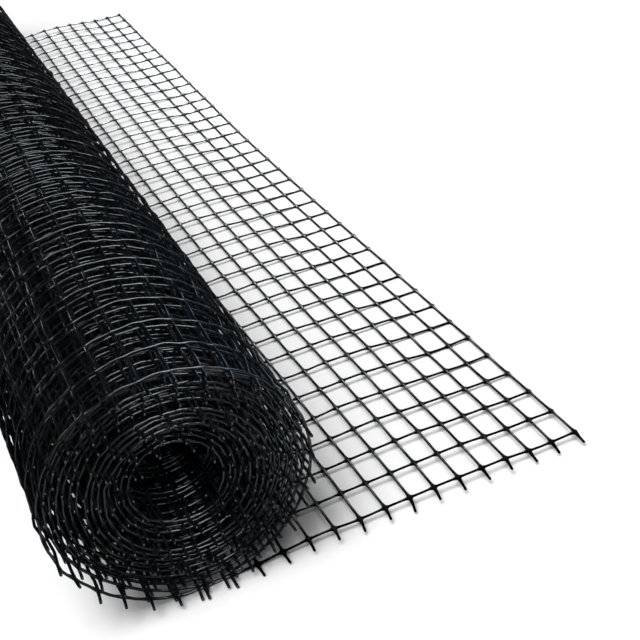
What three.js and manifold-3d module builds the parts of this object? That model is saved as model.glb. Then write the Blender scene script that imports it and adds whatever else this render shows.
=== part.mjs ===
// Roll of mole netting: a welded rectangular-mesh plastic net wound into an open roll, with its
// outer end laid out flat beside it. Millimetres, +Z up. The roll's axis runs along Y, the
// laid-out length reaches towards +X, and everything rests on the plane z = 0. The mesh is not
// cut out here: each piece is the closed outer form of the net that lies there.
import * as THREE from 'three';
import { mergeVertices } from 'three/addons/utils/BufferGeometryUtils.js';
import Module from 'manifold-3d';

const wasm = await Module();
wasm.setup();

// ---- Driving dimensions -------------------------------------------------------------------

const NET_WIDTH = 1000; // cut width along the roll's axis, stub ends included
const NET_THICKNESS = 2; // over the welded knots
const STUB_LENGTH = 10.5; // strand ends past the last cross strand, at both cut edges

const TURN_STEP = 3.28; // what each loose turn adds to the radius
const CORE_RADIUS = 24.4; // open middle: there is no tube in it

// The turns, counted inwards, have slid along the axis in groups while the net was wound.
// `slide` is towards the far end (+Y).
const TURN_GROUPS = [
  { turns: 3, slide: 0 },
  { turns: 4, slide: 2.5 },
  { turns: 4, slide: -1.5 },
  { turns: 4, slide: 5.5 },
];
const TURNS = TURN_GROUPS.reduce((sum, group) => sum + group.turns, 0);
const OUTER_RADIUS = CORE_RADIUS + TURNS * TURN_STEP;
const GROUP_OVERLAP = 0.6; // how far one group's solid reaches into the next before they join

const OVAL_SHARE = 0.022; // how far the winding is out of round, as a share of the radius
const OVAL_LEAN = THREE.MathUtils.degToRad(-26); // direction of its long axis, up from +X
const REST_DEPTH = 0.92; // how deep the turns are pressed flat where the roll lies on the ground

const NEAR_REACH = 232; // from the line under the axis to the free edge, at the near end
const FAR_REACH = 220; // the same where the free edge has drawn in, towards the far end
const DRAWN_IN_BY = 0.6; // share of the way to the far end at which it has drawn in
const SEAT_GAP = 0.3; // between the roll and the laid-out length

// Fineness of the faceted surfaces.
const TURN_FACETS = 52;
const ROLL_STEPS = 12;
const SHEET_STEPS_ACROSS = 14;
const SHEET_STEPS_ALONG = 28;

// Slow swelling of the roll between its ends: `along` runs from the near end (-Y) to the far end.
const ROLL_SWELL = [
  { along: 0.0, swell: -0.6 },
  { along: 0.2, swell: 0.5 },
  { along: 0.5, swell: -0.4 },
  { along: 0.8, swell: 0.6 },
  { along: 1.0, swell: -0.2 },
];

// How the laid-out length lies. `hump` lifts the middle of the length, and `edge` lifts the free
// edge.
const LAY = [
  { along: 0.0, hump: 3.5, edge: 2.2 },
  { along: STUB_LENGTH / NET_WIDTH, hump: 5.0, edge: 4.4 },
  { along: 0.12, hump: 4.0, edge: 0.8 },
  { along: 0.28, hump: 5.8, edge: 0 },
  { along: 0.5, hump: 4.2, edge: 0 },
  { along: 0.62, hump: 5.2, edge: 0 },
  { along: 0.8, hump: 3.6, edge: 0 },
  { along: 1.0, hump: 5.0, edge: 0.6 },
];

// Shares of the laid-out length that stay flat on the ground beside the roll and at the free edge.
const FLAT_BY_ROLL = 0.1;
const FLAT_AT_EDGE = 0.05;
const HUMP_SKEW = 1.25; // above 1 the top of the hump lies nearer the free edge
const EDGE_RISE_FROM = 0.5; // share of the length past which a lifted free edge pulls it up

// ---- Shared shape functions ---------------------------------------------------------------

// The value of one named column at `along`, eased between the table's rows.
function fromTable(table, column, along) {
  const next = table.findIndex((row) => row.along >= along);
  const upper = next < 0 ? table.length - 1 : Math.max(next, 1);
  const low = table[upper - 1];
  const high = table[upper];
  const share = THREE.MathUtils.smoothstep(along, low.along, high.along);
  return THREE.MathUtils.lerp(low[column], high[column], share);
}

// Radius of the outer side of the net after `angle` of winding. The angle starts straight under
// the axis and runs up the side away from the laid-out length.
function windingRadius(angle) {
  const direction = -Math.PI / 2 - angle;
  const oval = 1 + OVAL_SHARE * Math.cos(2 * (direction - OVAL_LEAN));
  return (OUTER_RADIUS - TURN_STEP * (angle / (2 * Math.PI))) * oval;
}

const AXIS_HEIGHT = windingRadius(0) - REST_DEPTH;

// One turn of the spiral as a closed outline, x sideways from the axis and y the height above the
// ground. Its first and last points lie on one line through the axis, a turn's step apart, and
// the short edge between them is the step where the net passes on to the next turn.
function turnOutline(turnsIn, inset) {
  const points = [];
  for (let i = 0; i <= TURN_FACETS; i += 1) {
    const angle = (2 * Math.PI * i) / TURN_FACETS;
    const radius = windingRadius(angle + 2 * Math.PI * turnsIn) - inset;
    points.push(new THREE.Vector2(-radius * Math.sin(angle), AXIS_HEIGHT - radius * Math.cos(angle)));
  }
  return points;
}

// An extrusion of the net's width whose every vertex is then moved. `place` gets the section
// point and the share of the way from the near end to the far end, and moves the point.
function shapedExtrusion(section, steps, place) {
  const geometry = new THREE.ExtrudeGeometry(section, {
    depth: NET_WIDTH,
    steps,
    bevelEnabled: false,
  });
  const position = geometry.getAttribute('position');
  const point = new THREE.Vector3();
  for (let i = 0; i < position.count; i += 1) {
    point.fromBufferAttribute(position, i);
    place(point, 1 - point.z / NET_WIDTH);
    position.setXYZ(i, point.x, point.y, point.z);
  }
  geometry.computeVertexNormals();
  return geometry;
}

// A closed geometry as a solid that can be joined to another.
function toSolid(geometry) {
  geometry.deleteAttribute('normal');
  geometry.deleteAttribute('uv');
  const merged = mergeVertices(geometry);
  const vertProperties = merged.getAttribute('position').array;
  const triVerts = new Uint32Array(merged.index.array);
  return new wasm.Manifold(new wasm.Mesh({ numProp: 3, vertProperties, triVerts }));
}

function fromSolid(solid) {
  const mesh = solid.getMesh();
  const geometry = new THREE.BufferGeometry();
  geometry.setAttribute('position', new THREE.BufferAttribute(mesh.vertProperties, 3));
  geometry.setIndex(new THREE.BufferAttribute(mesh.triVerts, 1));
  geometry.computeVertexNormals();
  return geometry;
}

function plasticNet(color, roughness) {
  return new THREE.MeshStandardMaterial({ color, roughness, metalness: 0 });
}

function namedMesh(name, geometry, material) {
  const mesh = new THREE.Mesh(geometry, material);
  mesh.name = name;
  return mesh;
}

// ---- The wound roll -----------------------------------------------------------------------

// The turns of one group, as a thick spiral ring. Only the outermost turn swells and lies flat.
function buildTurnGroup(turnsIn, group) {
  const turnsOut = turnsIn + group.turns;
  const innermost = turnsOut === TURNS;
  const section = new THREE.Shape(turnOutline(turnsIn, 0));
  const holeOutline = innermost
    ? turnOutline(TURNS - 1, NET_THICKNESS)
    : turnOutline(turnsOut, GROUP_OVERLAP);
  // A hole's outline runs the other way round.
  section.holes.push(new THREE.Path(holeOutline.reverse()));
  const swellsOutside = OUTER_RADIUS - 2 * TURN_STEP;
  return shapedExtrusion(section, ROLL_STEPS, (point, along) => {
    const up = point.y - AXIS_HEIGHT;
    const radius = Math.hypot(point.x, up);
    // The swelling fades out towards the ground, so that the roll stays seated.
    const fromGround = (1 + up / radius) / 2;
    const swell = radius > swellsOutside ? fromTable(ROLL_SWELL, 'swell', along) * fromGround : 0;
    const stretch = 1 + swell / radius;
    const height = Math.max(0, AXIS_HEIGHT + up * stretch);
    point.set(point.x * stretch, (along - 0.5) * NET_WIDTH + group.slide, height);
  });
}

function buildWoundRoll() {
  let roll = null;
  let turnsIn = 0;
  for (const group of TURN_GROUPS) {
    const ring = toSolid(buildTurnGroup(turnsIn, group));
    roll = roll ? roll.add(ring) : ring;
    turnsIn += group.turns;
  }
  return fromSolid(roll);
}

// ---- The laid-out length ------------------------------------------------------------------

// Height of the underside above the ground; `across` runs from the roll to the free edge.
function layHeight(across, along) {
  const humpEnd = 1 - FLAT_AT_EDGE;
  const share = THREE.MathUtils.clamp((across - FLAT_BY_ROLL) / (humpEnd - FLAT_BY_ROLL), 0, 1);
  const hump = Math.sin(Math.PI * share ** HUMP_SKEW) ** 2;
  const rise = THREE.MathUtils.smoothstep(across, EDGE_RISE_FROM, 1);
  return hump * fromTable(LAY, 'hump', along) + rise * fromTable(LAY, 'edge', along);
}

// Distance from the line under the axis to the free edge.
function looseReach(along) {
  const drawnIn = THREE.MathUtils.smoothstep(along, 0, DRAWN_IN_BY);
  return THREE.MathUtils.lerp(NEAR_REACH, FAR_REACH, drawnIn);
}

function buildLooseLength() {
  const strip = [];
  for (let i = 0; i <= SHEET_STEPS_ACROSS; i += 1) {
    strip.push(new THREE.Vector2(i / SHEET_STEPS_ACROSS, 0));
  }
  for (let i = SHEET_STEPS_ACROSS; i >= 0; i -= 1) {
    strip.push(new THREE.Vector2(i / SHEET_STEPS_ACROSS, NET_THICKNESS));
  }
  return shapedExtrusion(new THREE.Shape(strip), SHEET_STEPS_ALONG, (point, along) => {
    const across = point.x;
    const x = THREE.MathUtils.lerp(SEAT_GAP, looseReach(along), across);
    point.set(x, (along - 0.5) * NET_WIDTH, point.y + layHeight(across, along));
  });
}

// ---- The part -----------------------------------------------------------------------------

const net = new THREE.Group();
net.add(namedMesh('wound_roll', buildWoundRoll(), plasticNet(0x0c0e11, 0.42)));
net.add(namedMesh('loose_length', buildLooseLength(), plasticNet(0x0b0c0e, 0.45)));

// The origin is the middle of the footprint, on the ground.
const footprint = new THREE.Box3().setFromObject(net).getCenter(new THREE.Vector3());
net.position.set(-footprint.x, -footprint.y, 0);

export default net;
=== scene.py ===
"""Dresses the roll of mole netting: welded plastic strands, knots and cut ends, wound and laid out."""

import logging
import math
from dataclasses import dataclass, field
from enum import Enum

import bpy
import numpy as np
from mathutils import Matrix, Vector


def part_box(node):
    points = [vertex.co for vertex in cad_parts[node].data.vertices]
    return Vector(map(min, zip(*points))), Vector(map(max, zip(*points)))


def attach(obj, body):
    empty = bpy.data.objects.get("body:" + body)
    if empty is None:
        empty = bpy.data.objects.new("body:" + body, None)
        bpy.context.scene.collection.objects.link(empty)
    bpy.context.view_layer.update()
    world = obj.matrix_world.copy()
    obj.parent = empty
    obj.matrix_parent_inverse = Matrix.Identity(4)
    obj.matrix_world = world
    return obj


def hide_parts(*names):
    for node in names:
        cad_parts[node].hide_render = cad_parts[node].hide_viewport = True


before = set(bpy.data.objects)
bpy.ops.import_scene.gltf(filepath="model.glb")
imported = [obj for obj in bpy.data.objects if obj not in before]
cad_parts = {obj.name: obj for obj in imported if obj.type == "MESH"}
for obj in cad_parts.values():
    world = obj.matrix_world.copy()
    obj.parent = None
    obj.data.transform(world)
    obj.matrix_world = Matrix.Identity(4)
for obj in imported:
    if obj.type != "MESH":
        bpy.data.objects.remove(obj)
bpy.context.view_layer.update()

LOG = logging.getLogger("mole_netting")
MM = 0.001
KNOT_FLATTENING = 0.25  # how much thinner than wide the welds are


@dataclass(frozen=True)
class RollTurn:
    """A group of turns that slid along the axis together while the net was wound."""

    turns: int
    slide: float


@dataclass(frozen=True)
class LayRow:
    """How the laid-out length lies at one place between the near end and the far end."""

    along: float
    hump: float
    edge: float
    by_roll: float = 0.0


@dataclass
class NetForm:
    """The surface that the net follows, from its free edge to the innermost turn.

    A place on the net is given by its distance from the free edge along the net's length, and by
    its distance from the near cut edge across the net's width.
    """

    width: float = 1.0
    mid_height: float = 1.05 * MM
    stub_length: float = 10.5 * MM
    turn_step: float = 3.28 * MM
    core_radius: float = 24.4 * MM
    oval_share: float = 0.022
    oval_lean: float = math.radians(-26)
    rest_depth: float = 0.92 * MM
    near_reach: float = 232 * MM
    far_reach: float = 220 * MM
    drawn_in_by: float = 0.6
    seat_gap: float = 0.3 * MM
    groups: tuple[RollTurn, ...] = (
        RollTurn(1, 0.0),
        RollTurn(1, 2.5 * MM),
        RollTurn(1, 4.5 * MM),
        RollTurn(4, 2.5 * MM),
        RollTurn(4, -1.5 * MM),
        RollTurn(4, 5.5 * MM),
    )
    swell: tuple[tuple[float, float], ...] = (
        (0.0, -0.6 * MM),
        (0.2, 0.5 * MM),
        (0.5, -0.4 * MM),
        (0.8, 0.6 * MM),
        (1.0, -0.2 * MM),
    )
    lay: tuple[LayRow, ...] = (
        LayRow(0.0, 3.5 * MM, 2.2 * MM, 3.2 * MM),
        LayRow(stub_length / width, 5.0 * MM, 4.4 * MM, 3.2 * MM),
        LayRow(0.12, 4.0 * MM, 0.8 * MM, 1.6 * MM),
        LayRow(0.28, 3.0 * MM, 0.0, 1.0 * MM),
        LayRow(0.5, 4.2 * MM, 0.0),
        LayRow(0.62, 5.2 * MM, 0.0),
        LayRow(0.8, 3.6 * MM, 0.0),
        LayRow(1.0, 5.0 * MM, 0.6 * MM),
    )
    flat_by_roll: float = 0.1
    flat_at_edge: float = 0.05
    hump_skew: float = 1.25
    edge_rise_from: float = 0.5
    by_roll_middle: float = 0.26
    by_roll_spread: float = 0.13
    slide_jitter: float = 0.7 * MM
    ripple_starts_by: float = math.radians(60)  # angle wound by the time that the ripples are full
    wobble_starts_by: float = 0.3  # share of the way from the roll at which the wobbles are full
    winding_samples: int = 4000
    seed: int = 11

    def __post_init__(self) -> None:
        """Measures the CAD solids' places and tabulates the winding."""
        low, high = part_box("loose_length")
        self.axis_x = low.x - self.seat_gap
        self.near_y = low.y
        self.far_y = high.y
        self.turns = sum(group.turns for group in self.groups)
        self.outer_radius = self.core_radius + self.turns * self.turn_step
        self.axis_height = float(self.side_radius(np.array(0.0))) - self.rest_depth
        self.angles = np.linspace(0, 2 * math.pi * (self.turns + 0.5), self.winding_samples)
        steps = np.diff(self.angles) * self.mid_radius(self.angles[:-1])
        self.lengths = np.concatenate(([0.0], np.cumsum(steps)))
        rng = np.random.default_rng(self.seed)
        slides = [group.slide for group in self.groups for _ in range(group.turns)]
        jitter = rng.uniform(-self.slide_jitter, self.slide_jitter, self.turns)
        jitter[0] = 0
        self.turn_slides = np.array([0.0, *(np.array(slides) + jitter)])
        self.turn_places = np.array([0.0, *(np.arange(self.turns) + 0.5)])
        self.ripple_phases = rng.uniform(0, 2 * math.pi, len(RIPPLES))
        self.wobble_phases = rng.uniform(0, 2 * math.pi, len(WOBBLES))

    @property
    def middle_reach(self) -> float:
        """Distance from the line under the axis to the free edge, in the middle of the width."""
        return float(self.reach(np.array(0.5)))

    def length_in(self, turns: float) -> float:
        """Length of net in the outermost turns, from the line under the axis inwards."""
        return float(np.interp(2 * math.pi * turns, self.angles, self.lengths))

    def side_radius(self, angle: np.ndarray) -> np.ndarray:
        """Radius of the net's outer side at each angle wound since the line under the axis."""
        oval = 1 + self.oval_share * np.cos(2 * (-math.pi / 2 - angle - self.oval_lean))
        return (self.outer_radius - self.turn_step * angle / (2 * math.pi)) * oval

    def mid_radius(self, angle: np.ndarray) -> np.ndarray:
        """Radius of the middle of the net's thickness at each angle."""
        return self.side_radius(angle) - self.mid_height

    def from_lay(self, column: str, along: np.ndarray) -> np.ndarray:
        """One column of the lay table at each share of the width, eased between its rows."""
        rows = np.array([(row.along, getattr(row, column)) for row in self.lay])
        return eased(*rows.T, along)

    def reach(self, along: np.ndarray) -> np.ndarray:
        """Distance from the line under the axis to the free edge at each share of the width."""
        drawn_in = smooth_share(along / self.drawn_in_by)
        return self.near_reach + (self.far_reach - self.near_reach) * drawn_in

    def lay_height(self, across: np.ndarray, along: np.ndarray) -> np.ndarray:
        """Height of the laid-out net's underside above the ground.

        Args:
            across: Share of the way from the roll to the free edge.
            along: Share of the way from the near end to the far end.

        Returns:
            The height at each place.
        """
        hump_end = 1 - self.flat_at_edge
        share = np.clip((across - self.flat_by_roll) / (hump_end - self.flat_by_roll), 0, 1)
        hump = np.sin(math.pi * share**self.hump_skew) ** 2
        rise = smooth_share((across - self.edge_rise_from) / (1 - self.edge_rise_from))
        by_roll = np.exp(-(((across - self.by_roll_middle) / self.by_roll_spread) ** 2))
        lifted = by_roll * self.from_lay("by_roll", along)
        return hump * self.from_lay("hump", along) + rise * self.from_lay("edge", along) + lifted

    def ripple(self, angle: np.ndarray, along: np.ndarray) -> np.ndarray:
        """Slow unevenness of the winding, much the same in neighbouring turns.

        Args:
            angle: Angle wound since the line under the axis.
            along: Share of the way from the near end to the far end.

        Returns:
            How far the net lies outside its even spiral.
        """
        ripples = summed(RIPPLES, angle, along, self.ripple_phases)
        from_ground = (1 - np.cos(angle)) / 2
        started = smooth_share(angle / self.ripple_starts_by)
        swell = eased(*np.array(self.swell).T, along) * np.clip(2 - angle / math.pi, 0, 1)
        return (ripples * started + swell) * from_ground

    def slack(self, angle: np.ndarray, along: np.ndarray) -> np.ndarray:
        """How far turns are drawn in where they are slack, and pressed out where they bear weight.

        Args:
            angle: Angle wound since the line under the axis.
            along: Share of the way from the near end to the far end.

        Returns:
            A shift of the radius, negative inwards.
        """
        around = np.mod(angle, 2 * math.pi)
        spread = np.exp(-(((around - SLACK.middle) / SLACK.half_width) ** 2))
        nearness = 1 - smooth_share(along / SLACK.fades_by)
        turn = angle / (2 * math.pi)
        depth = np.interp(turn, SLACK.turn_places, SLACK.draw_in)
        below = np.minimum(around, 2 * math.pi - around)
        pressed = np.exp(-((below / SLACK.pressed_half_width) ** 2))
        pressed *= np.interp(turn, SLACK.pressed_places, SLACK.pressed_out)
        return depth * spread * nearness + pressed

    def place(self, length: np.ndarray, across: np.ndarray) -> tuple[np.ndarray, np.ndarray]:
        """Puts places on the net into the part's frame.

        Args:
            length: Distance from the free edge along the net's length.
            across: Distance from the near cut edge across the net's width.

        Returns:
            The points in the middle of the net's thickness, and the direction of its outer side.
        """
        along = across / self.width
        reach = self.reach(along)
        beyond = length - reach
        out_share = -beyond / reach
        laid_height = self.lay_height(np.clip(out_share, 0, 1), along) + self.mid_height
        wobble = summed(WOBBLES, length, across, self.wobble_phases)
        laid_height += wobble * smooth_share(out_share / self.wobble_starts_by)
        angle = np.interp(beyond, self.lengths, self.angles)
        radius = self.mid_radius(angle) + self.ripple(angle, along) + self.slack(angle, along)
        wound_x = -radius * np.sin(angle)
        wound_height = self.axis_height - radius * np.cos(angle)
        laid = beyond < 0
        x = np.where(laid, -beyond, wound_x) + self.axis_x
        z = np.maximum(np.where(laid, laid_height, wound_height), self.mid_height)
        slide = np.interp(angle / (2 * math.pi), self.turn_places, self.turn_slides)
        y = self.near_y + across + np.where(laid, 0.0, slide)
        outward_x = np.where(laid, 0.0, -np.sin(angle))
        outward_z = np.where(laid, -1.0, -np.cos(angle))
        outward = np.stack([outward_x, np.zeros_like(x), outward_z], axis=-1)
        return np.stack([x, y, z], axis=-1), outward


@dataclass(frozen=True)
class Wave:
    """One wave of unevenness: its size, how fast it turns each way, and its random phase if any.

    `first` goes with the way round the roll or from the free edge, `along` with the way to the far end.
    """

    size: float
    first: float
    along: float
    phase: int | None = None


def summed(waves: tuple[Wave, ...], first: np.ndarray, along: np.ndarray, phases: np.ndarray) -> np.ndarray:
    """Adds up waves.

    Args:
        waves: The waves.
        first: Places round the roll or from the free edge.
        along: Places on the way from the near end to the far end.
        phases: The random phases.

    Returns:
        The sum at each place.
    """
    total = np.zeros(np.broadcast(first, along).shape)
    for wave in waves:
        start = 0.0 if wave.phase is None else phases[wave.phase]
        total += wave.size * np.sin(wave.first * first + wave.along * along + start)
    return total


@dataclass(frozen=True)
class Slack:
    """Where the inner turns have drawn in at the near end, and where weight presses turns out."""

    middle: float = math.radians(46)
    half_width: float = math.radians(36)
    fades_by: float = 0.16
    turn_places: tuple[float, ...] = (0.6, 0.95, 2.0, 3.0, 4.0, 5.5)
    draw_in: tuple[float, ...] = (0.0, -3.4 * MM, -2.8 * MM, -1.9 * MM, -1.0 * MM, 0.0)
    pressed_half_width: float = math.radians(40)
    pressed_places: tuple[float, ...] = (0.4, 0.9, 2.0, 3.0, 4.0, 6.0)
    pressed_out: tuple[float, ...] = (0.0, 1.8 * MM, 2.6 * MM, 2.1 * MM, 1.3 * MM, 0.0)


# The waves round the roll are near whole numbers, so that neighbouring turns lie alike.
RIPPLES = (
    Wave(0.42 * MM, 2.05, 4.1, 0),
    Wave(0.34 * MM, 3.07, -7.7, 1),
    Wave(0.22 * MM, 5.10, 13.0, 2),
    Wave(0.14 * MM, 8.16, 31.0, 3),
)
# Ups and downs of the laid-out length, over its distances in metres.
WOBBLES = (
    Wave(0.22 * MM, 71.0, 38.0, 0),
    Wave(0.18 * MM, -103.0, 61.0, 1),
    Wave(0.12 * MM, 161.0, -97.0, 2),
)
SLACK = Slack()

# Shifts of the knots, over their numbers: hoops drift, strands lie unevenly spaced, and in the roll
# hoops skew and strands creep round.
DRIFT = (Wave(1.0, 0.41, 0.9, 0), Wave(0.7, 0.23, -0.37, 1), Wave(0.4, 0.93, 1.7, 2))
SPACING = (Wave(1.0, 0.6, 0.35, 3),)
SKEW = (Wave(1.0, 0.217, 0.11, 1), Wave(0.6, 0.093, -0.2))
CREEP = (Wave(1.0, 0.139, 0.03, 0), Wave(0.6, 0.067, 0.0, 2))


def smooth_share(share: np.ndarray) -> np.ndarray:
    """A share from 0 to 1 with a soft start and end."""
    held = np.clip(share, 0, 1)
    return held * held * (3 - 2 * held)


def eased(places: np.ndarray, values: np.ndarray, at: np.ndarray) -> np.ndarray:
    """Interpolates with a soft start and end in each step.

    Args:
        places: Where the values are known, rising.
        values: The values there.
        at: Where they are wanted.

    Returns:
        The value at each wanted place.
    """
    upper = np.clip(np.searchsorted(places, at), 1, len(places) - 1)
    low, high = places[upper - 1], places[upper]
    share = smooth_share((at - low) / (high - low))
    return values[upper - 1] + (values[upper] - values[upper - 1]) * share


@dataclass
class Lattice:
    """Where the strands cross on the flat net: strands count from the free edge, hoops from the near end."""

    form: NetForm
    cell: float = 15.5 * MM
    first_strand: float = 0.85 * MM
    hoops: int = 40
    hoop_drift: float = 0.45 * MM
    strand_spacing: float = 0.3 * MM
    knot_jitter: float = 0.12 * MM
    # The laid-out length has a share of the hoops' drift, which then grows over some strands.
    laid_drift: float = 0.25
    drift_grows_from: int = 12
    grows_over: int = 8
    # Past the outermost turn the mesh lies less regularly: hoops skewed, strands crept round.
    first_turn_ends: int = 42
    winding_skew: float = 2.6 * MM
    winding_creep: float = 3.0 * MM
    even_hoops: int = 3  # hoops in which the skew fades towards each end
    wave_phases: int = 4  # random phases that the waves start from
    seed: int = 23

    def __post_init__(self) -> None:
        """Counts the strands and draws the small shifts of the knots."""
        form = self.form
        self.pitch = (form.width - 2 * form.stub_length) / (self.hoops - 1)
        self.total_length = form.middle_reach + form.length_in(form.turns)
        self.strands = int((self.total_length - self.first_strand) / self.cell) + 1
        rng = np.random.default_rng(self.seed)
        size = (self.strands, self.hoops)
        strand = np.arange(self.strands)[:, None]
        hoop = np.arange(self.hoops)[None, :]
        phases = rng.uniform(0, 2 * math.pi, self.wave_phases)
        grown = smooth_share((strand - self.drift_grows_from) / self.grows_over)
        drift = summed(DRIFT, strand, hoop, phases) * self.hoop_drift
        self.across_shift = drift * (self.laid_drift + (1 - self.laid_drift) * grown)
        inside = smooth_share((strand - self.first_turn_ends) / self.grows_over)
        from_ends = smooth_share(np.minimum(hoop, self.hoops - 1 - hoop) / self.even_hoops)
        skew = summed(SKEW, strand, hoop, phases)
        self.across_shift += self.winding_skew * skew * inside * from_ends
        self.across_shift += rng.normal(0, self.knot_jitter, size)
        self.length_shift = rng.normal(0, self.knot_jitter, size)
        self.length_shift += self.strand_spacing * summed(SPACING, strand, hoop, phases)
        creep = summed(CREEP, strand, hoop, phases)
        self.length_shift += self.winding_creep * creep * inside

    def flat_place(self, strand: np.ndarray, hoop: np.ndarray) -> tuple[np.ndarray, np.ndarray]:
        """Distances on the flat net of a place counted in strands and hoops.

        Args:
            strand: Strands from the free edge, in fractions between knots.
            hoop: Hoops from the near end, in fractions between knots.

        Returns:
            The distance from the free edge and the distance from the near cut edge.
        """
        i = np.clip(np.floor(strand), 0, self.strands - 2).astype(int)
        k = np.clip(np.floor(hoop), 0, self.hoops - 2).astype(int)
        u = np.clip(strand - i, 0, 1)
        v = np.clip(hoop - k, 0, 1)
        shifts = []
        for grid in (self.length_shift, self.across_shift):
            near = grid[i, k] * (1 - u) + grid[i + 1, k] * u
            far = grid[i, k + 1] * (1 - u) + grid[i + 1, k + 1] * u
            shifts.append(near * (1 - v) + far * v)
        length = self.first_strand + strand * self.cell + shifts[0]
        across = self.form.stub_length + hoop * self.pitch + shifts[1]
        return length, across


@dataclass(frozen=True)
class StrandDetail:
    """How finely strands are meshed: their sides, and the samples from one knot to the next."""

    sides: int
    samples: tuple[float, ...]


FINE = StrandDetail(8, (0.0, 0.07, 0.17, 0.5, 0.83, 0.93))
CLOSE = StrandDetail(6, (0.0, 0.08, 0.28, 0.5, 0.72, 0.92))
MIDDLE = StrandDetail(5, (0.0, 0.12, 0.88))
DEEP = StrandDetail(4, (0.0, 0.5))


@dataclass
class StrandMesh:
    """Vertices, faces and surface values of many tubes, gathered into one mesh."""

    points: list[np.ndarray] = field(default_factory=list)
    quads: list[np.ndarray] = field(default_factory=list)
    caps: list[np.ndarray] = field(default_factory=list)
    weld: list[np.ndarray] = field(default_factory=list)
    run: list[np.ndarray] = field(default_factory=list)
    strand: list[np.ndarray] = field(default_factory=list)
    count: int = 0

    def add(
        self, centres: np.ndarray, outward: np.ndarray, radius: np.ndarray, weld: np.ndarray,
        numbers: np.ndarray, sides: int,
    ) -> None:
        """Adds a family of tubes that all have the same number of samples.

        Args:
            centres: Points along each tube, tubes by samples by 3.
            outward: The net's outer direction at each point.
            radius: Radius at each point.
            weld: Nearness to a knot at each point, 0 to 1.
            numbers: A number that tells each strand from the others.
            sides: Sides round each tube.
        """
        # Tubes that would dip under the ground are lifted onto it.
        centres[..., 2] = np.maximum(centres[..., 2], radius * (1 - KNOT_FLATTENING * weld))
        tubes, samples = centres.shape[:2]
        tangent = unit(np.gradient(centres, axis=1))
        side = unit(np.cross(tangent, outward))
        up = np.cross(side, tangent)
        around = (np.arange(sides) + 0.5) * 2 * math.pi / sides
        up = up * (1 - KNOT_FLATTENING * weld[..., None])
        spokes = up[:, :, None, :] * np.cos(around)[None, None, :, None]
        spokes = spokes + side[:, :, None, :] * np.sin(around)[None, None, :, None]
        rings = centres[:, :, None, :] + radius[:, :, None, None] * spokes
        index = self.count + np.arange(tubes * samples * sides).reshape(tubes, samples, sides)
        here, ahead = index[:, :-1], index[:, 1:]
        turned_here, turned_ahead = np.roll(here, -1, axis=2), np.roll(ahead, -1, axis=2)
        quads = np.stack([here, turned_here, turned_ahead, ahead], axis=-1)
        self.points.append(rings.reshape(-1, 3))
        self.quads.append(quads.reshape(-1, 4))
        self.caps.extend(index[:, 0, ::-1])
        self.caps.extend(index[:, -1])
        step = np.linalg.norm(np.diff(centres, axis=1), axis=2)
        run = np.concatenate([np.zeros((tubes, 1)), np.cumsum(step, axis=1)], axis=1)
        self.weld.append(np.repeat(weld.reshape(-1), sides))
        self.run.append(np.repeat(run.reshape(-1), sides))
        self.strand.append(np.repeat(numbers, samples * sides))
        self.count += tubes * samples * sides

    def build(self, name: str) -> bpy.types.Object:
        """Makes the mesh object, smooth along the strands, with its surface values.

        Args:
            name: The piece's name.

        Returns:
            The new object, linked to the scene.
        """
        mesh = bpy.data.meshes.new(name)
        points = np.concatenate(self.points)
        quads = np.concatenate(self.quads)
        loops = np.concatenate([quads.reshape(-1), *self.caps]).astype(np.int32)
        sizes = np.array([4] * len(quads) + [len(cap) for cap in self.caps], dtype=np.int32)
        starts = np.concatenate(([0], np.cumsum(sizes)[:-1])).astype(np.int32)
        mesh.vertices.add(len(points))
        mesh.vertices.foreach_set("co", points.reshape(-1).astype(np.float32))
        mesh.loops.add(len(loops))
        mesh.loops.foreach_set("vertex_index", loops)
        mesh.polygons.add(len(sizes))
        mesh.polygons.foreach_set("loop_start", starts)
        mesh.update(calc_edges=True)
        smooth = np.array([True] * len(quads) + [False] * len(self.caps))
        mesh.polygons.foreach_set("use_smooth", smooth)
        for label, values in (("weld", self.weld), ("run", self.run), ("strand", self.strand)):
            attribute = mesh.attributes.new(label, "FLOAT", "POINT")
            attribute.data.foreach_set("value", np.concatenate(values).astype(np.float32))
        mesh.validate()
        piece = bpy.data.objects.new(name, mesh)
        bpy.context.scene.collection.objects.link(piece)
        return piece


def unit(vectors: np.ndarray) -> np.ndarray:
    """Vectors of length one in the same directions."""
    return vectors / np.maximum(np.linalg.norm(vectors, axis=-1, keepdims=True), 1e-12)


@dataclass(frozen=True)
class StrandSize:
    """Thickness of one kind of strand and how it swells where it is welded."""

    radius: float
    lift: float  # its centre's distance from the middle of the net, towards the outer side
    knot_swell: float = 0.7
    knot_reach: float = 1.6 * MM
    bow: float = 0.25 * MM  # how far strands bow in or out between knots
    tip_share: float = 0.8  # radius of the cut tip as a share of the strand's

    def weld(self, places: np.ndarray, last: int, spacing: float) -> np.ndarray:
        """Nearness to a knot, 0 to 1, at places counted in knots from 0 to the last."""
        distance = np.abs(places - np.clip(np.round(places), 0, last)) * spacing
        return np.exp(-((distance / self.knot_reach) ** 2))


AXIAL_SIZE = StrandSize(radius=0.78 * MM, lift=-0.22 * MM, knot_swell=0.62, bow=0.42 * MM)
HOOP_SIZE = StrandSize(radius=0.72 * MM, lift=0.22 * MM, knot_swell=0.78, bow=0.2 * MM)

# Between knots a strand bows one way, more often out than in, and a little both ways.
BOW_OUT = 0.8
BOW_TWICE = 0.7

# Where stubs are sampled, from the last knot to the tip, and how late along them they bend aside.
STUB_SAMPLES = (0.12, 0.55)
STUB_BEND = 1.6
NUB_SAMPLE = 0.3  # where the hoops' short ends are sampled


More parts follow.
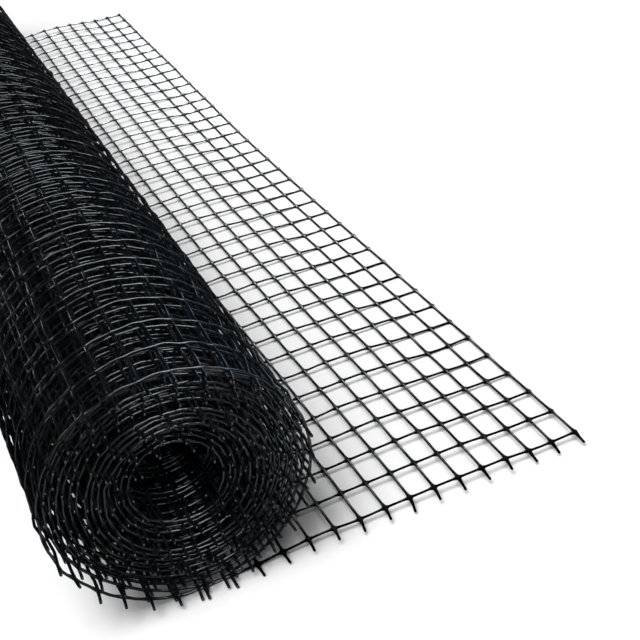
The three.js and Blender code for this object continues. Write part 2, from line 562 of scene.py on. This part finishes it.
def bows(rng: np.random.Generator, places: np.ndarray, strands: int, size: float) -> np.ndarray:
    """How far each strand bows in or out, knots staying where they are.

    Args:
        rng: The source of the bows' sizes.
        places: Places along a strand, counted in knots.
        strands: Number of strands.
        size: Usual size of a bow.

    Returns:
        A shift for each strand at each place.
    """
    cell = np.clip(np.floor(places).astype(int), 0, int(places.max()))
    once = rng.normal(BOW_OUT * size, size, (strands, cell.max() + 1))
    twice = rng.normal(0, BOW_TWICE * size, (strands, cell.max() + 1))
    share = np.clip(places - cell, 0, 1)
    single, double = np.sin(math.pi * share) ** 2, np.sin(2 * math.pi * share)
    return once[:, cell] * single + twice[:, cell] * double


class Held(Enum):
    """How a stretch of the net is held."""

    LAID = "laid"
    FOLDED = "folded"


@dataclass
class NetPiece:
    """A stretch of the net between two axial strands, with its knots and its cut ends."""

    name: str
    lattice: Lattice
    first: int
    stop: int
    detail: StrandDetail
    stub_droop: float = 0.0
    stub_scatter: float = 0.7 * MM
    stub_share: float = 1.0
    nub_length: float = 1.0 * MM
    thickness: float = 1.0  # of the strands here, against the usual
    slackness: float = 1.0  # how far strands bow between knots, against the usual
    knot_bulk: float = 1.0  # how far the welds swell, against the usual
    far_stub_share: float = 1.0
    tip_rounding: float = 0.45 * MM
    length_scatter: float = 0.7 * MM
    seed: int = 5

    @property
    def flat_size(self) -> tuple[float, float]:
        """Width and length of this stretch of net, cut out flat."""
        return self.lattice.form.width, (self.stop - self.first) * self.lattice.cell

    def build(self) -> bpy.types.Object:
        """Meshes the stretch's strands and hoops as one object.

        Returns:
            The new object.
        """
        mesh = StrandMesh()
        self.add_axial_strands(mesh)
        self.add_hoops(mesh)
        return mesh.build(self.name)

    def radius(self, size: StrandSize, weld: np.ndarray) -> np.ndarray:
        """Radius of one kind of strand at each nearness to a knot."""
        return self.thickness * size.radius * (1 + self.knot_bulk * size.knot_swell * weld)

    def add_axial_strands(self, mesh: StrandMesh) -> None:
        """Adds the strands that run across the net's width, with their stubs.

        Args:
            mesh: The mesh that takes them.
        """
        lattice, size = self.lattice, AXIAL_SIZE
        last_hoop = lattice.hoops - 1
        stub = self.stub_share * lattice.form.stub_length / lattice.pitch
        far_stub = self.far_stub_share * stub
        rounding = self.tip_rounding / lattice.pitch
        inner = [k + f for k in range(last_hoop) for f in self.detail.samples] + [last_hoop]
        near = [-stub, -stub + rounding, *(-place * stub for place in reversed(STUB_SAMPLES))]
        far = [last_hoop + place * far_stub for place in STUB_SAMPLES]
        far += [last_hoop + far_stub - rounding, last_hoop + far_stub]
        hoop = np.array(near + inner + far)
        numbers = np.arange(self.first, self.stop, dtype=float)
        strand_grid, hoop_grid = np.meshgrid(numbers, hoop, indexing="ij")
        rng = np.random.default_rng(self.seed + self.first)
        out = np.where(hoop_grid < 0, -hoop_grid, np.maximum(hoop_grid - last_hoop, 0)) / stub
        at_near = hoop_grid < 0
        cut = rng.normal(0, self.length_scatter / lattice.pitch / 2, (len(numbers), 2))
        shift = np.where(at_near, cut[:, :1], cut[:, 1:]) * out
        length, across = lattice.flat_place(strand_grid, hoop_grid + shift)
        centres, outward = lattice.form.place(length, across)
        along_net = unit(np.gradient(centres, axis=0)) if len(numbers) > 1 else outward
        aside = rng.normal(0, self.stub_scatter, (len(numbers), 4))
        bend = out**STUB_BEND
        sideways = np.where(at_near, aside[:, :1], aside[:, 1:2]) * bend
        lifted = np.where(at_near, aside[:, 2:3], aside[:, 3:]) * bend
        centres = centres + along_net * sideways[..., None]
        bow = bows(rng, np.clip(hoop, 0, last_hoop), len(numbers), self.slackness * size.bow)
        centres = centres + outward * (size.lift + lifted + bow)[..., None]
        centres[..., 2] -= self.stub_droop * bend
        weld = size.weld(hoop_grid, last_hoop, lattice.pitch)
        radius = self.radius(size, weld)
        radius[:, [0, -1]] *= size.tip_share
        mesh.add(centres, outward, radius, weld, numbers, self.detail.sides)

    def add_hoops(self, mesh: StrandMesh) -> None:
        """Adds the strands that run along the net's length, as far as this stretch goes.

        Args:
            mesh: The mesh that takes them.
        """
        lattice, size = self.lattice, HOOP_SIZE
        nub = self.nub_length / lattice.cell
        rounding = self.tip_rounding / lattice.cell
        start, end = self.first - 0.5, self.stop - 0.5
        inner = [i + f for i in range(self.first, self.stop - 1) for f in self.detail.samples]
        inner.append(self.stop - 1)
        half = [f for f in self.detail.samples if 0 < f < 0.5]
        if self.first == 0:
            head = [-nub, -nub + rounding, -NUB_SAMPLE * nub]
        else:
            head = [start, *(self.first - f for f in reversed(half))]
        if self.stop == lattice.strands:
            tail = [self.stop - 1 + place for place in (NUB_SAMPLE * nub, nub - rounding, nub)]
        else:
            tail = [*(self.stop - 1 + f for f in half), end]
        strand = np.array(head + inner + tail)
        numbers = np.arange(lattice.hoops, dtype=float)
        hoop_grid, strand_grid = np.meshgrid(numbers, strand, indexing="ij")
        length, across = lattice.flat_place(strand_grid, hoop_grid)
        centres, outward = lattice.form.place(length, across)
        rng = np.random.default_rng(self.seed + lattice.strands + self.first)
        places = np.clip(strand - self.first, 0, None)
        bow = bows(rng, places, len(numbers), self.slackness * size.bow)
        centres = centres + outward * (size.lift + bow)[..., None]
        weld = size.weld(strand_grid, lattice.strands - 1, lattice.cell)
        radius = self.radius(size, weld)
        if self.first == 0:
            radius[:, 0] *= size.tip_share
        if self.stop == lattice.strands:
            radius[:, -1] *= size.tip_share
        mesh.add(centres, outward, radius, weld, numbers + lattice.strands, self.detail.sides)

    def dress(
        self, material: bpy.types.Material, node: str
    ) -> bpy.types.Object:
        """Builds the piece, gives it its finish, attaches it to the root and hides the CAD part it stands
        for.

        Args:
            material: The finish.
            node: The CAD node it stands for.

        Returns:
            The finished piece.
        """
        piece = self.build()
        piece.data.materials.append(material)
        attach(piece, "root")
        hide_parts(node)
        return piece


STRANDS_APART = 3.7  # how far off one strand's die lines lie from the next one's in the noise


class NodeSheet:
    """A node tree being written, with short ways to add nodes and links."""

    def __init__(self, tree: bpy.types.NodeTree) -> None:
        """Keeps the tree that nodes are added to."""
        self.tree = tree

    def add(self, kind: str, label: str, **inputs: object) -> bpy.types.Node:
        """Adds a node with its settings, and sets or links its inputs.

        Args:
            kind: The node's type name.
            label: What the node is for.
            **inputs: Values or output sockets by input name, and settings by their small-letter name.

        Returns:
            The new node.
        """
        node = self.tree.nodes.new(kind)
        node.label = label
        for name, value in inputs.items():
            if name.islower():
                setattr(node, name, value)
            else:
                self.feed(node, name, value)
        return node

    def feed(self, node: bpy.types.Node, name: str | int, value: object) -> None:
        """Sets an input to a value, or links it to an output socket.

        Args:
            node: The node.
            name: The input's name or number.
            value: The value or output socket.
        """
        if isinstance(value, bpy.types.NodeSocket):
            self.tree.links.new(value, node.inputs[name])
        else:
            node.inputs[name].default_value = value

    def math(self, operation: str, label: str, *values: object) -> bpy.types.NodeSocket:
        """Adds a Math node.

        Args:
            operation: The node's operation.
            label: What it is for.
            *values: Its inputs in order, values or sockets.

        Returns:
            Its output.
        """
        node = self.add("ShaderNodeMath", label, operation=operation)
        for place, value in enumerate(values):
            self.feed(node, place, value)
        return node.outputs[0]

    def ramp(
        self, label: str, value: object, low: object, high: object, start: float = 0.0, end: float = 1.0
    ) -> bpy.types.NodeSocket:
        """Maps a value's range to another one, held at its ends.

        Args:
            label: What it is for.
            value: The value.
            low: The value that maps to start.
            high: The value that maps to end.
            start: The result at low.
            end: The result at high.

        Returns:
            The mapped value.
        """
        node = self.add("ShaderNodeMapRange", label, clamp=True)
        for place, item in enumerate((value, low, high, start, end)):
            self.feed(node, place, item)
        return node.outputs[0]

    def noise(self, label: str, vector: object, scale: float, detail: float = 3.0) -> bpy.types.NodeSocket:
        """Adds a Noise texture and returns its value."""
        node = self.add("ShaderNodeTexNoise", label, Vector=vector, Scale=scale, Detail=detail)
        return node.outputs["Fac"]

    def attribute(self, label: str, name: str) -> bpy.types.NodeSocket:
        """Reads the surface value of that name from the mesh."""
        return self.add("ShaderNodeAttribute", label, attribute_name=name).outputs["Fac"]

    def mix(self, label: str, share: object, low: object, high: object) -> bpy.types.NodeSocket:
        """Blends two colours.

        Args:
            label: What the blend is for.
            share: Share of the second colour.
            low: The first colour, or a socket.
            high: The second colour, or a socket.

        Returns:
            The blended colour.
        """
        node = self.add("ShaderNodeMix", label, data_type="RGBA")
        self.feed(node, 0, share)
        # Inputs 6 and 7 and output 2 are the node's colour sockets.
        for place, colour in ((6, low), (7, high)):
            self.feed(node, place, (*colour, 1.0) if isinstance(colour, tuple) else colour)
        return node.outputs[2]


class NetEffects:
    """Surface effects of the plastic that both of its finishes use, as node groups."""

    def __init__(self) -> None:
        """Builds the groups once."""
        self.die_lines = self.make_die_lines()
        self.handling = self.make_handling()

    @staticmethod
    def new_group(name: str, inputs: dict[str, float], outputs: list[str]) -> bpy.types.NodeTree:
        """Starts a group with named value sockets.

        Args:
            name: The group's name.
            inputs: Input names with their usual values.
            outputs: Output names.

        Returns:
            The group, with its input and output nodes added.
        """
        group = bpy.data.node_groups.new(name, "ShaderNodeTree")
        for label, value in inputs.items():
            socket = group.interface.new_socket(label, in_out="INPUT", socket_type="NodeSocketFloat")
            socket.default_value = value
        for label in outputs:
            group.interface.new_socket(label, in_out="OUTPUT", socket_type="NodeSocketFloat")
        group.nodes.new("NodeGroupInput")
        group.nodes.new("NodeGroupOutput")
        return group

    def make_die_lines(self) -> bpy.types.NodeTree:
        """Fine lines that the die leaves along each strand.

        Returns:
            A group that gives the height of the lines.
        """
        group = self.new_group("die_lines", {"Fineness": 7.0, "Drift": 60.0}, ["Lines"])
        sheet = NodeSheet(group)
        entry, leave = group.nodes["Group Input"], group.nodes["Group Output"]
        run = sheet.attribute("distance along the strand", "run")
        strand = sheet.attribute("which strand", "strand")
        surface = sheet.add("ShaderNodeNewGeometry", "which side of the strand")
        around = sheet.add("ShaderNodeVectorMath", "sides told apart", operation="SCALE")
        sheet.feed(around, 0, surface.outputs["Normal"])
        sheet.feed(around, "Scale", entry.outputs["Fineness"])
        drift = sheet.math("MULTIPLY", "slow change along it", run, entry.outputs["Drift"])
        apart = sheet.math("MULTIPLY", "strands differ", strand, STRANDS_APART)
        shift = sheet.add("ShaderNodeCombineXYZ", "place", X=drift, Y=apart)
        place = sheet.add("ShaderNodeVectorMath", "line place", operation="ADD")
        sheet.feed(place, 0, around.outputs[0])
        sheet.feed(place, 1, shift.outputs[0])
        sheet.feed(leave, "Lines", sheet.noise("die lines", place.outputs[0], scale=1.0, detail=2.0))
        return group

    def make_handling(self) -> bpy.types.NodeTree:
        """Dusty bloom, and scuffs where the knots stand proud.

        Returns:
            A group that gives the bloom and the scuffs as masks.
        """
        group = self.new_group("handling", {"Bloom": 1.0, "Scuff": 1.0}, ["Bloom", "Scuff"])
        sheet = NodeSheet(group)
        entry, leave = group.nodes["Group Input"], group.nodes["Group Output"]
        place = sheet.add("ShaderNodeTexCoord", "place").outputs["Object"]
        patches = sheet.ramp("patches", sheet.noise("bloom patches", place, scale=22.0), low=0.42, high=0.66)
        specks = sheet.noise("bloom grain", place, scale=900.0, detail=2.0)
        grain = sheet.ramp("grain", specks, low=0.35, high=0.7)
        both = sheet.math("MULTIPLY", "patchy grain", patches, grain)
        bloom = sheet.math("MULTIPLY", "amount of bloom", both, entry.outputs["Bloom"])
        sheet.feed(leave, "Bloom", bloom)
        weld = sheet.attribute("nearness to a knot", "weld")
        worn = sheet.ramp("worn knots", sheet.noise("wear", place, scale=140.0), low=0.4, high=0.62)
        scuff = sheet.math("MULTIPLY", "scuffed knots", worn, weld)
        sheet.feed(leave, "Scuff", sheet.math("MULTIPLY", "amount", scuff, entry.outputs["Scuff"]))
        return group


@dataclass(frozen=True)
class NetPlastic:
    """Black extruded polyethylene with a soft satin sheen."""

    name: str
    deep: tuple[float, float, float] = (0.0018, 0.0022, 0.0028)
    dusty: tuple[float, float, float] = (0.004, 0.005, 0.006)
    scuffed: tuple[float, float, float] = (0.005, 0.006, 0.007)
    roughness: tuple[float, float] = (0.14, 0.3)
    specular_level: float = 0.5
    bloom: float = 1.0
    scuff: float = 1.0
    line_depth: float = 0.05 * MM
    weld_roughness: float = 0.0  # what a weld adds to the roughness
    scuff_roughness: float = 0.16  # what a scuff adds to it
    line_range: tuple[float, float] = (0.3, 0.7)  # noise from the smoothest to the roughest line
    line_strength: float = 0.5
    ior: float = 1.5

    def build(self, effects: NetEffects) -> bpy.types.Material:
        """Makes the material.

        Args:
            effects: The shared surface effects.

        Returns:
            The material.
        """
        material = bpy.data.materials.new(self.name)
        material.use_nodes = True
        tree = material.node_tree
        shader = tree.nodes["Principled BSDF"]
        sheet = NodeSheet(tree)
        lines = sheet.add("ShaderNodeGroup", "die lines", node_tree=effects.die_lines)
        handling = sheet.add("ShaderNodeGroup", "handling", node_tree=effects.handling)
        sheet.feed(handling, "Bloom", self.bloom)
        sheet.feed(handling, "Scuff", self.scuff)
        scuff = handling.outputs["Scuff"]
        bloomed = sheet.mix("bloomed", handling.outputs["Bloom"], self.deep, self.dusty)
        sheet.feed(shader, "Base Color", sheet.mix("scuffed", scuff, bloomed, self.scuffed))
        line_rough = sheet.ramp("rough by line", lines.outputs["Lines"], *self.line_range, *self.roughness)
        knot_rough = sheet.math("MULTIPLY", "rougher scuffs", scuff, self.scuff_roughness)
        weld = sheet.attribute("nearness to a knot", "weld")
        weld_rough = sheet.math("MULTIPLY", "matte welds", weld, self.weld_roughness)
        worn_rough = sheet.math("ADD", "line and scuff roughness", line_rough, knot_rough)
        sheet.feed(shader, "Roughness", sheet.math("ADD", "roughness", worn_rough, weld_rough))
        bump = sheet.add(
            "ShaderNodeBump", "die lines",
            Height=lines.outputs["Lines"], Strength=self.line_strength, Distance=self.line_depth,
        )
        sheet.feed(shader, "Normal", bump.outputs["Normal"])
        sheet.feed(shader, "IOR", self.ior)
        sheet.feed(shader, "Specular IOR Level", self.specular_level)
        return material


@dataclass(frozen=True)
class PaperFloor:
    """The plain white paper that the net lies on."""

    axis_x: float
    size: float = 14.0
    colour: tuple[float, float, float] = (0.88, 0.88, 0.88)
    bright: tuple[float, float, float] = (0.9, 0.9, 0.9)
    roughness: float = 0.9
    fibre_scale: float = 40.0

    def build(self) -> bpy.types.Object:
        """Makes the floor with its paper finish, kept out of reflections.

        Returns:
            The floor.
        """
        half = self.size / 2
        mesh = bpy.data.meshes.new("floor")
        corners = [(-half, -half, 0), (half, -half, 0), (half, half, 0), (-half, half, 0)]
        mesh.from_pydata(corners, [], [(0, 1, 2, 3)])
        floor = bpy.data.objects.new("floor", mesh)
        floor.location.x = self.axis_x
        bpy.context.scene.collection.objects.link(floor)
        material = bpy.data.materials.new("floor_paper")
        material.use_nodes = True
        sheet = NodeSheet(material.node_tree)
        shader = material.node_tree.nodes["Principled BSDF"]
        place = sheet.add("ShaderNodeTexCoord", "place").outputs["Object"]
        tone = sheet.ramp("paper tone", sheet.noise("fibres", place, self.fibre_scale), low=0.3, high=0.7)
        sheet.feed(shader, "Base Color", sheet.mix("paper", tone, self.colour, self.bright))
        sheet.feed(shader, "Roughness", self.roughness)
        sheet.feed(shader, "Specular IOR Level", 0.0)
        mesh.materials.append(material)
        floor.visible_glossy = False
        return floor


class Lit(Enum):
    """What a lamp lights, or what stands in its light."""

    FLOOR = "floor"
    WOUND = "wound"
    LAID = "laid"


Members = dict[Lit, list[bpy.types.Object]]


@dataclass(frozen=True)
class Lamp:
    """A lamp that lights some of the objects, and whose light some of them block."""

    name: str
    lights: tuple[Lit, ...]
    blocked_by: tuple[Lit, ...]
    colour: tuple[float, float, float] = (1.0, 1.0, 1.0)

    def link(self, data: bpy.types.Light, members: Members) -> bpy.types.Object:
        """Makes the lamp object and links it to what it lights and what blocks it.

        Args:
            data: The lamp's own data.
            members: The objects of each kind.

        Returns:
            The lamp object.
        """
        data.color = self.colour
        lamp = bpy.data.objects.new(self.name, data)
        lamp.visible_camera = False
        bpy.context.scene.collection.objects.link(lamp)
        roles = (("lit_by_", "receiver", self.lights), ("blocks_", "blocker", self.blocked_by))
        for prefix, role, kinds in roles:
            group = bpy.data.collections.new(prefix + self.name)
            for member in (member for kind in kinds for member in members[kind]):
                group.objects.link(member)
            setattr(lamp.light_linking, role + "_collection", group)
        return lamp


@dataclass(frozen=True)
class SoftLamp(Lamp):
    """A soft rectangular lamp that points at the roll and lights it, unless it is told otherwise."""

    lights: tuple[Lit, ...] = (Lit.WOUND,)
    blocked_by: tuple[Lit, ...] = (Lit.WOUND,)
    place: tuple[float, float, float] = (0.0, 0.0, 1.0)
    size: tuple[float, float] = (1.0, 1.0)
    radiance: float = 10.0
    target: tuple[float, float, float] = (-0.08, -0.2, 0.07)
    beam: float = math.pi  # the angle that its light keeps within

    def build(self, members: Members) -> None:
        """Makes the lamp, turned to its target.

        Args:
            members: The objects of each kind.
        """
        data = bpy.data.lights.new(self.name, "AREA")
        data.shape = "RECTANGLE"
        data.size, data.size_y = self.size
        data.energy = self.radiance * math.pi * self.size[0] * self.size[1]
        data.spread = self.beam
        lamp = self.link(data, members)
        lamp.location = self.place
        aim = Vector(self.target) - Vector(self.place)
        lamp.rotation_euler = aim.to_track_quat("-Z", "Y").to_euler()


@dataclass(frozen=True)
class FarLamp(Lamp):
    """A lamp so far away that its light is even over the whole floor, where the net lets it through."""

    lights: tuple[Lit, ...] = (Lit.FLOOR,)
    blocked_by: tuple[Lit, ...] = (Lit.LAID, Lit.WOUND)
    azimuth: float = 0.0  # where it stands, from +X towards +Y
    elevation: float = math.radians(60)
    spread: float = math.radians(10)
    irradiance: float = 1.0  # on the level floor

    def build(self, members: Members) -> None:
        """Makes the lamp, turned to the net.

        Args:
            members: The objects of each kind.
        """
        data = bpy.data.lights.new(self.name, "SUN")
        data.energy = self.irradiance / math.sin(self.elevation)
        data.angle = self.spread
        lamp = self.link(data, members)
        level = math.cos(self.elevation)
        towards = Vector((
            level * math.cos(self.azimuth),
            level * math.sin(self.azimuth),
            math.sin(self.elevation),
        ))
        lamp.rotation_euler = (-towards).to_track_quat("-Z", "Y").to_euler()


@dataclass(frozen=True)
class Studio:
    """The floor, the soft light round the net, and the camera."""

    form: NetForm
    lens: float = 70.0
    sensor: float = 36.0
    yaw: float = math.radians(18.158)
    pitch: float = math.radians(32.477)
    roll: float = math.radians(9.361)
    # The camera's place from the roll's axis, from the middle of the net's width and from the ground.
    stand: tuple[float, float, float] = (-0.07482, -0.98514, 0.47102)
    lamps: tuple[FarLamp | SoftLamp, ...] = (
        FarLamp(
            "floor_key", azimuth=math.radians(200),
            elevation=math.radians(70), spread=math.radians(34), irradiance=2.35,
        ),
        FarLamp(
            "floor_top", azimuth=math.radians(270),
            elevation=math.radians(78), spread=math.radians(46), irradiance=0.75,
        ),
        FarLamp(
            "floor_soft", azimuth=math.radians(215),
            elevation=math.radians(36), spread=math.radians(50), irradiance=0.75,
        ),
        SoftLamp(
            "overhead_softbox", colour=(0.88, 0.96, 1.0),
            place=(0.24, -0.95, 0.95), size=(1.4, 0.5), radiance=15.0,
        ),
        SoftLamp(
            "flank_strip", colour=(0.9, 0.96, 1.0),
            place=(-0.42, 0.55, 0.035), size=(1.1, 0.06), radiance=1.2, target=(0.0, 0.55, 0.035),
        ),
        SoftLamp(
            "flank_glints", colour=(0.95, 0.98, 1.0),
            place=(-1.6, 3.2, 0.25), size=(0.5, 0.3), radiance=10.0,
        ),
        SoftLamp(
            "shoulder_fill", colour=(0.7, 0.88, 1.0),
            place=(0.9, 0.5, 0.3), size=(0.5, 0.5), radiance=2.5,
        ),
        SoftLamp(
            "floor_bounce", colour=(0.9, 0.96, 1.0),
            place=(-0.1, -0.74, 0.004), size=(0.8, 0.42), radiance=0.9, target=(-0.1, -0.7399, 1.0),
        ),
        SoftLamp(
            "hoop_strip", (Lit.LAID,), (Lit.LAID, Lit.WOUND), colour=(0.95, 0.98, 1.0),
            place=(0.26, 0.42, 0.8), size=(0.3, 0.5), radiance=45.0, target=(0.14, 0.36, 0.0),
            beam=math.radians(86),
        ),
    )

    def build(self, laid: list[bpy.types.Object], wound: list[bpy.types.Object]) -> None:
        """Sets up everything round the net.

        Args:
            laid: The pieces of the laid-out length.
            wound: The pieces of the roll.
        """
        floor = PaperFloor(self.form.axis_x).build()
        members = {Lit.FLOOR: [floor], Lit.WOUND: wound, Lit.LAID: laid}
        for lamp in self.lamps:
            lamp.build(members)
        self.build_sky()
        self.build_camera()

    def build_sky(self) -> None:
        """An even white surround that is seen behind the floor but gives no light."""
        world = bpy.data.worlds.new("white_surround")
        bpy.context.scene.world = world
        world.use_nodes = True
        background = world.node_tree.nodes["Background"]
        background.inputs["Color"].default_value = (1.0, 1.0, 1.0, 1.0)
        background.inputs["Strength"].default_value = 1.0
        world.cycles_visibility.diffuse = False
        world.cycles_visibility.glossy = False
        bpy.context.scene.view_settings.view_transform = "Standard"

    def build_camera(self) -> None:
        """The camera, placed from the roll's axis."""
        level = Vector((math.cos(self.yaw), -math.sin(self.yaw), 0))
        ahead = Vector((
            math.sin(self.yaw) * math.cos(self.pitch),
            math.cos(self.yaw) * math.cos(self.pitch),
            -math.sin(self.pitch),
        ))
        down = ahead.cross(level)
        right = math.cos(self.roll) * level + math.sin(self.roll) * down
        below = math.cos(self.roll) * down - math.sin(self.roll) * level
        data = bpy.data.cameras.new("camera")
        data.sensor_fit = "HORIZONTAL"
        data.sensor_width = self.sensor
        data.lens = self.lens
        camera = bpy.data.objects.new("camera", data)
        turn = Matrix((right, -below, -ahead)).transposed().to_4x4()
        middle_y = (self.form.near_y + self.form.far_y) / 2
        place = Vector((self.form.axis_x, middle_y, 0)) + Vector(self.stand)
        camera.matrix_world = Matrix.Translation(place) @ turn
        bpy.context.scene.collection.objects.link(camera)
        bpy.context.scene.camera = camera


@dataclass(frozen=True)
class Stretch:
    """A named stretch of the net, by the turns it takes in and how finely it is meshed."""

    name: str
    until_turn: float
    detail: StrandDetail
    rests_on: tuple[str, ...]


WOUND_STRETCHES = (
    Stretch("net_turn_outer", 1.0, CLOSE, ("net_turns_second",)),
    Stretch("net_turns_second", 3.0, MIDDLE, ("net_turns_middle",)),
    Stretch("net_turns_middle", 7.0, DEEP, ("net_turns_deep",)),
    Stretch("net_turns_deep", 11.0, DEEP, ("net_turns_core",)),
    Stretch("net_turns_core", 15.0, DEEP, ("net_turns_deep",)),
)


@dataclass
class MoleNetting:
    """The whole net: the laid-out length and the turns of the roll."""

    lattice: Lattice
    stub_droop: float = 1.0 * MM
    wound_thickness: float = 1.1
    wound_slackness: float = 1.5
    outside_turns: float = 3.0  # how many turns in the outside's finish goes

    def build(self) -> tuple[list[bpy.types.Object], list[bpy.types.Object]]:
        """Builds and dresses each stretch.

        Returns:
            The laid-out pieces and the wound pieces.
        """
        effects = NetEffects()
        flat = NetPlastic("net_plastic_laid", weld_roughness=0.5).build(effects)
        outside = NetPlastic("net_plastic_outside").build(effects)
        # The inside finish is darker than the outside one: it has less bloom and fewer scuffs.
        inside = NetPlastic("net_plastic_inside", bloom=0.6, scuff=0.7).build(effects)
        lattice = self.lattice
        start = round((lattice.form.middle_reach - lattice.first_strand) / lattice.cell)
        loose = NetPiece(
            "net_loose", lattice, 0, start, FINE, stub_droop=self.stub_droop, stub_share=0.85,
            slackness=0.3, far_stub_share=0.3, knot_bulk=1.9,
        )
        laid = [loose.dress(flat, "loose_length")]
        wound = []
        for stretch in WOUND_STRETCHES:
            ends = lattice.form.middle_reach + lattice.form.length_in(stretch.until_turn)
            stop = round((ends - lattice.first_strand) / lattice.cell)
            if stretch is WOUND_STRETCHES[-1]:
                stop = lattice.strands
            material = outside if stretch.until_turn <= self.outside_turns else inside
            piece = NetPiece(
                stretch.name, lattice, start, stop, stretch.detail,
                thickness=self.wound_thickness, slackness=self.wound_slackness,
            )
            wound.append(piece.dress(material, "wound_roll"))
            start = stop
        return laid, wound


def main() -> None:
    """Builds the net and its surroundings, and logs the net's length and each piece's triangles."""
    logging.basicConfig(level=logging.INFO)
    form = NetForm()
    lattice = Lattice(form)
    LOG.info("%d strands, %.2f m of net", lattice.strands, lattice.total_length)
    laid, wound = MoleNetting(lattice).build()
    for piece in laid + wound:
        triangles = sum(len(polygon.vertices) - 2 for polygon in piece.data.polygons)
        LOG.info("%s: %d triangles", piece.name, triangles)
    Studio(form).build(laid, wound)


if __name__ == "__main__":
    main()
